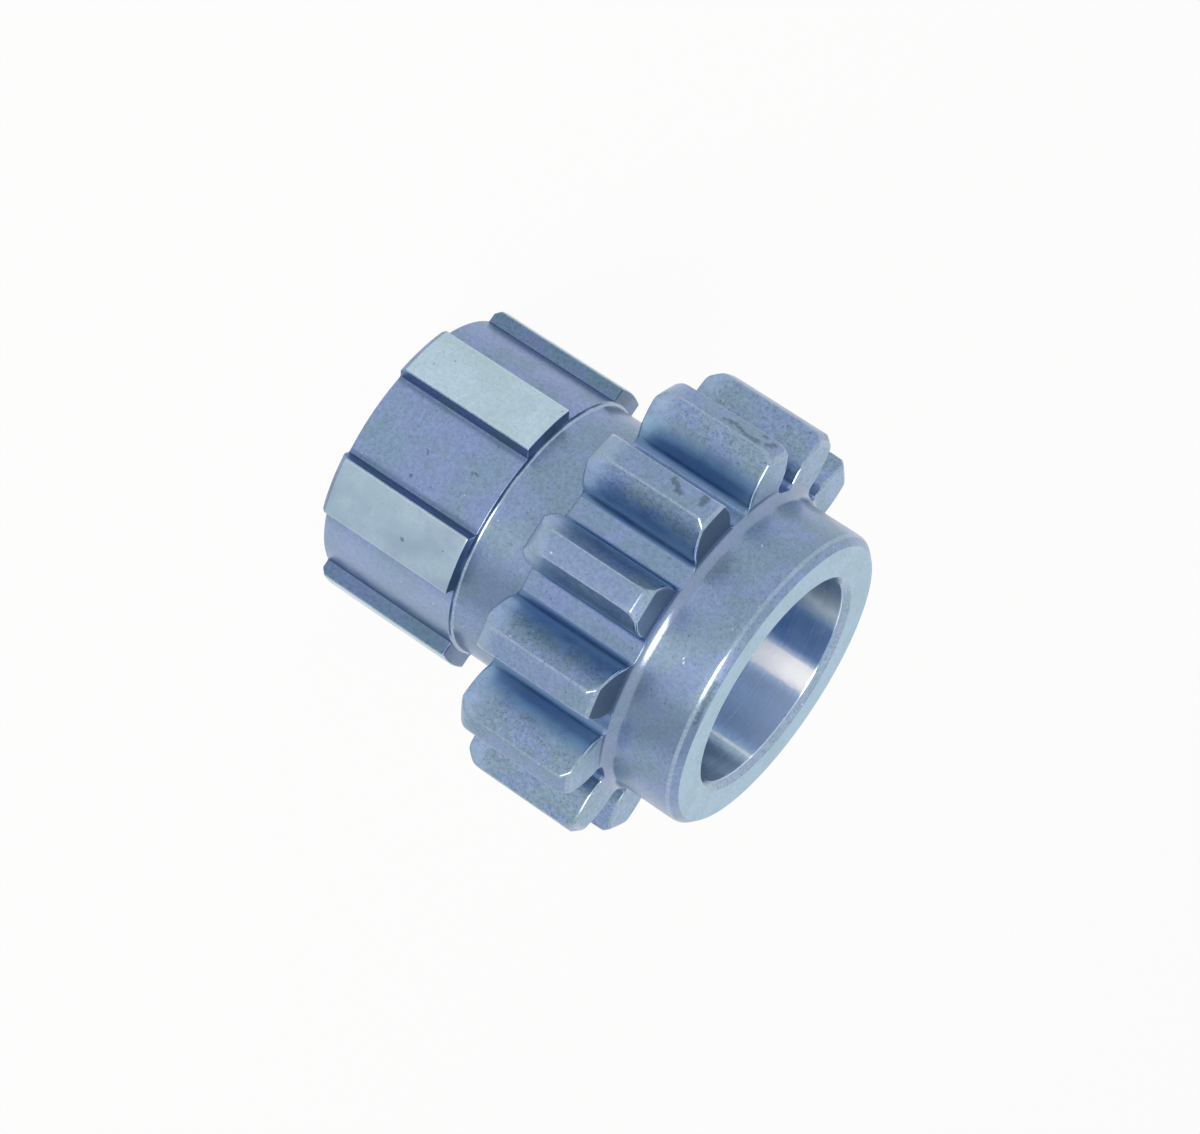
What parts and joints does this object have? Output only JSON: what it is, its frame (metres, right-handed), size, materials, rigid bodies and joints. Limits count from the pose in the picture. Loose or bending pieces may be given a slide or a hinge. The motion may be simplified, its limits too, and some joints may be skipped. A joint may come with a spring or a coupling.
{
  "type": "clutch gear",
  "caption": "Steel clutch gear with a splined hub, a relieved neck, stub spur teeth and a plain collar around a ground through bore, for a clutch hub on a shaft.",
  "frame": {"origin": "Centre of the flat end of the splined hub, on the axis of the bore. The part stands on that end.", "axes": "+Z runs along the bore from the splined hub to the plain collar. +X runs through the middle of a spline."},
  "size_m": [0.0506, 0.0506, 0.0495],
  "materials": {
    "steel": "satin, with ground spline tops, end faces and bore"
  },
  "bodies": {
    "root": {"clutch_gear": "steel"}
  },
  "joints": []
}
